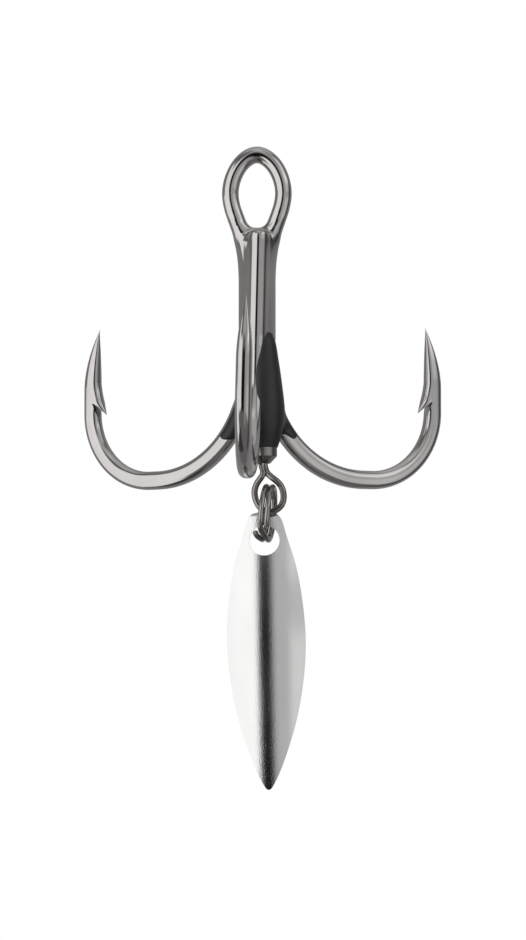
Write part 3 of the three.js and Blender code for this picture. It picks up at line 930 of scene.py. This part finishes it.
def make_split_ring(materials):
    turn = np.linspace(0, RING_TURNS, RING_STATIONS)
    angle = 2 * math.pi * turn + math.radians(RING_START)
    step = smoothstep(turn, *RING_STEP_TURNS)
    splay = RING_SPLAY * (1 - smoothstep(turn, 0, RING_SPLAY_TURNS))
    aside = RING_PITCH * (step - 0.5) - splay
    line = np.column_stack([aside, RING_R * np.cos(angle), RING_R * np.sin(angle)])
    line = turn_about(turn_about(line, 1, RING_LEAN), 2, RING_YAW) + RING_CENTRE
    shape = swept(*rounded_ends(line, np.full(RING_STATIONS, RING_WIRE_R), RING_END_ROUNDING), RING_SIDES)
    return piece("ring_coils", shape, "ring", ["split_ring"], materials["ring"])


# ---- Blade ----

def smooth_blade_outline():
    """The outline as a dense line of [share of the length, half width]."""
    line = smooth_curve([(share * BLADE_LENGTH, half, 0.0) for share, half in BLADE_OUTLINE], 900)
    line = line[np.argsort(line[:, 0])]
    return np.column_stack([line[:, 0] / BLADE_LENGTH, np.maximum(line[:, 1], 0)])


BLADE_EDGE = smooth_blade_outline()


def blade_half_width(share):
    return np.interp(share, BLADE_EDGE[:, 0], BLADE_EDGE[:, 1])


def share_at(z):
    """How far down the blade a height is, as a share of its length. The hole's centre is the origin."""
    return (HOLE_BELOW_TOP - z) / BLADE_LENGTH


def blade_surface(x, z):
    """The middle of the sheet at a place in its plane, where the hole's centre is the origin."""
    half = np.maximum(blade_half_width(share_at(z)), 1e-3)
    side = np.clip(x / half, -1, 1)
    return BLADE_BACK_Y - half ** 2 * (1 - side ** 2) / (2 * BLADE_CURVE_R)


def blade_rim(angle):
    """Distance from the hole's centre to the outline in a direction."""
    beyond_rim = 4.0
    low, high = BLADE_HOLE_R, beyond_rim
    for _ in range(40):
        middle = (low + high) / 2
        x, z = middle * math.cos(angle), middle * math.sin(angle)
        share = share_at(z)
        inside = share > 0 and abs(x) < blade_half_width(share)
        low, high = (middle, high) if inside else (low, middle)
    return low


def blade_head(sides):
    """Rings of quads from the hole out to the rim and to a level seam below the hole, and the number of the
    seam's first point, which starts the last ring."""
    seam_half = float(blade_half_width(share_at(BLADE_SEAM_Z)))
    seam = [(side * seam_half, BLADE_SEAM_Z) for side in sides]
    start = math.atan2(BLADE_SEAM_Z, seam_half)
    stop = math.atan2(BLADE_SEAM_Z, -seam_half) + 2 * math.pi
    around = np.linspace(start, stop, BLADE_HOLE_STEPS + 1)[1:-1]
    outer = seam + [(blade_rim(a) * math.cos(a), blade_rim(a) * math.sin(a)) for a in around]
    count = len(outer)
    flat, faces = [], []
    for i in range(BLADE_RINGS + 1):
        share = (i / BLADE_RINGS) ** BLADE_RING_SPREAD
        for x, z in outer:
            inner = BLADE_HOLE_R / math.hypot(x, z)
            scale = inner + (1 - inner) * share
            flat.append((x * scale, z * scale))
    for i in range(BLADE_RINGS):
        for k in range(count):
            a, b = i * count + k, i * count + (k + 1) % count
            faces.append((a, b, b + count, a + count))
    return flat, faces, BLADE_RINGS * count


def blade_grid():
    """Quads of the sheet: rings round the hole, then rows down to the tip, closer together at the rim."""
    crowded = np.sin(np.linspace(-math.pi / 2, math.pi / 2, BLADE_COLUMNS + 1))
    sides = EDGE_CROWDING * crowded + (1 - EDGE_CROWDING) * np.linspace(-1, 1, BLADE_COLUMNS + 1)
    flat, faces, seam_start = blade_head(sides)
    above = [seam_start + j for j in range(BLADE_COLUMNS + 1)]
    first = share_at(BLADE_SEAM_Z)
    for i in range(1, BLADE_ROWS + 1):
        share = first + (BLADE_TIP_SHARE - first) * math.sin(math.pi / 2 * i / BLADE_ROWS)
        half = float(blade_half_width(share))
        row = [len(flat) + j for j in range(BLADE_COLUMNS + 1)]
        flat += [(side * half, HOLE_BELOW_TOP - share * BLADE_LENGTH) for side in sides]
        faces += [(above[j], above[j + 1], row[j + 1], row[j]) for j in range(BLADE_COLUMNS)]
        above = row
    return np.array(flat), faces


def open_edges(quads):
    """The edges that only one quad has, in that quad's direction."""
    edges = dict.fromkeys((a, b) for quad in quads for a, b in zip(quad, quad[1:] + quad[:1]))
    return [(a, b) for a, b in edges if (b, a) not in edges]


def make_blade(materials):
    flat, quads = blade_grid()
    middle = blade_surface(flat[:, 0], flat[:, 1])
    count = len(flat)
    half = BLADE_THICKNESS / 2
    layers = [np.column_stack([flat[:, 0], middle + side, flat[:, 1]]) for side in (-half, half)]
    faces = [quad[::-1] for quad in quads] + [tuple(i + count for i in quad) for quad in quads]
    faces += [(a, b, b + count, a + count) for a, b in open_edges(quads)]
    shape = turn_about(np.vstack(layers), 1, -BLADE_LEAN) + BLADE_PIVOT, faces
    blade = piece("blade_sheet", shape, "blade", ["spinner_blade"], materials["blade"],
                  sharp=50)
    edge = blade.modifiers.new("rim", "BEVEL")
    edge.width = BLADE_RIM_ROUNDING * MM
    edge.segments = 3
    edge.limit_method = "ANGLE"
    edge.angle_limit = math.radians(BLADE_RIM_ANGLE)
    return blade


# ---- Studio ----

def make_camera():
    data = bpy.data.cameras.new("camera")
    data.sensor_width = 36
    data.sensor_fit = "AUTO"
    data.lens = CAMERA_LENS
    data.clip_start = 0.005
    camera = bpy.data.objects.new("camera", data)
    bpy.context.scene.collection.objects.link(camera)
    camera.location = CAMERA_PLACE
    camera.rotation_euler = (math.radians(CAMERA_TILT), 0, math.radians(CAMERA_YAW))
    bpy.context.scene.camera = camera


def make_floor():
    """White and shadowless, below the hanging part, and seen only by the camera."""
    low, _ = cad_box
    floor_z = low[2] - FLOOR_BELOW
    side = FLOOR_HALF_SIDE
    corners = [(x * side, y * side, floor_z) for x, y in ((-1, -1), (1, -1), (1, 1), (-1, 1))]
    floor = raw_object("floor", (np.array(corners), [(0, 1, 2, 3)]))
    material = bpy.data.materials.new("floor_white")
    nodes, links = nodes_of(material)
    nodes.remove(nodes["Principled BSDF"])
    glow = nodes.new("ShaderNodeEmission")
    glow.inputs["Color"].default_value = (1, 1, 1, 1)
    glow.inputs["Strength"].default_value = 1.0
    links.new(glow.outputs["Emission"], nodes["Material Output"].inputs["Surface"])
    floor.data.materials.append(material)
    floor.visible_glossy = False
    floor.visible_diffuse = False


# The studio's soft lights, and the darker fields in it, as seen from the object: (azimuth from, azimuth to,
# elevation from, elevation to, width of the side edges, width of the level edges, radiance), in degrees.
# Azimuth 0 is the camera's side, and the right is positive. AMBIENT is added in every direction.
AMBIENT = 0.24
LIGHTS = [
    (-58, -19, -26, 28, 8, 8, 1.36),
    (-98, -58, -48, 6, 8, 3, 1.3),
    (-84, -58, 6, 38, 8, 3, 1.3),
    (-185, -104, -60, 60, 12, 10, 0.13),
    (5, 34, -50, 60, 11, 10, 0.22),
    (8, 34, -30, 28, 12, 8, 0.22),
    (34, 66, -35, 55, 10, 10, 0.22),
    (34, 80, -30, 30, 12, 8, 0.22),
    (34, 80, -30, 4, 12, 3, 0.32),
    (34, 80, 10.5, 26, 12, 3, 0.32),
    (40, 90, 20, 50, 12, 8, 0.8),
    (112, 185, -60, 60, 30, 10, 0.16),
    (-24, 14, 30, 70, 14, 8, 0.45),
    (-200, 200, 58, 100, 10, 16, 0.5),
]
DARKS = [
    (-20, 5, -30, 18, 10, 8, 0.23),
    (-110, -26, -95, -50, 10, 10, 0.17),
    (80, 106, -60, 60, 8, 10, 0.14),
]


def make_world():
    """White to the camera, and to everything else a dim room with soft lights in it."""
    world = bpy.data.worlds.new("studio")
    bpy.context.scene.world = world
    world.use_nodes = True
    nodes, links = world.node_tree.nodes, world.node_tree.links
    nodes.clear()

    def math_node(operation, *values):
        node = nodes.new("ShaderNodeMath")
        node.operation = operation
        for socket, value in zip(node.inputs, values):
            if isinstance(value, (int, float)):
                socket.default_value = value
            else:
                links.new(value, socket)
        return node.outputs["Value"]

    def rise(value, middle, edge):
        """0 below the middle and 1 above it, with a smooth edge."""
        node = nodes.new("ShaderNodeMapRange")
        node.interpolation_type = "SMOOTHSTEP"
        node.inputs["From Min"].default_value = middle - edge / 2
        node.inputs["From Max"].default_value = middle + edge / 2
        links.new(value, node.inputs["Value"])
        return node.outputs["Result"]

    parts = nodes.new("ShaderNodeSeparateXYZ")
    links.new(nodes.new("ShaderNodeTexCoord").outputs["Generated"], parts.inputs["Vector"])
    x, y, z = parts.outputs["X"], parts.outputs["Y"], parts.outputs["Z"]
    turned_round = math_node("ARCTAN2", x, math_node("MULTIPLY", y, -1.0))
    azimuth = math_node("SUBTRACT", math_node("DEGREES", turned_round), CAMERA_YAW)
    elevation = math_node("DEGREES", math_node("ARCSINE", z))
    total = None
    for lights, sign in ((LIGHTS, 1.0), (DARKS, -1.0)):
        for low, high, bottom, top, side_edge, level_edge, radiance in lights:
            inside = math_node("MULTIPLY", rise(azimuth, low, side_edge),
                               math_node("SUBTRACT", 1.0, rise(azimuth, high, side_edge)))
            level = math_node("MULTIPLY", rise(elevation, bottom, level_edge),
                              math_node("SUBTRACT", 1.0, rise(elevation, top, level_edge)))
            part = math_node("MULTIPLY", math_node("MULTIPLY", inside, level), sign * radiance)
            total = part if total is None else math_node("ADD", total, part)
    strength = math_node("ADD", total, AMBIENT)
    studio = nodes.new("ShaderNodeBackground")
    studio.inputs["Color"].default_value = (1, 1, 1, 1)
    links.new(strength, studio.inputs["Strength"])
    backdrop = nodes.new("ShaderNodeBackground")
    backdrop.inputs["Color"].default_value = (1, 1, 1, 1)
    mix = nodes.new("ShaderNodeMixShader")
    links.new(nodes.new("ShaderNodeLightPath").outputs["Is Camera Ray"], mix.inputs["Fac"])
    links.new(studio.outputs["Background"], mix.inputs[1])
    links.new(backdrop.outputs["Background"], mix.inputs[2])
    links.new(mix.outputs["Shader"], nodes.new("ShaderNodeOutputWorld").inputs["Surface"])
    bpy.context.scene.view_settings.view_transform = "Standard"


# ---- The model ----

make_camera()
make_world()
make_floor()
finishes = make_materials()
make_double_hook(finishes)
make_single_hook(finishes)
make_braze_skin(finishes)
make_resin(finishes)
make_barrel(finishes)
make_lower_eye(finishes)
finish_anchor_eye(finishes)
make_split_ring(finishes)
make_blade(finishes)
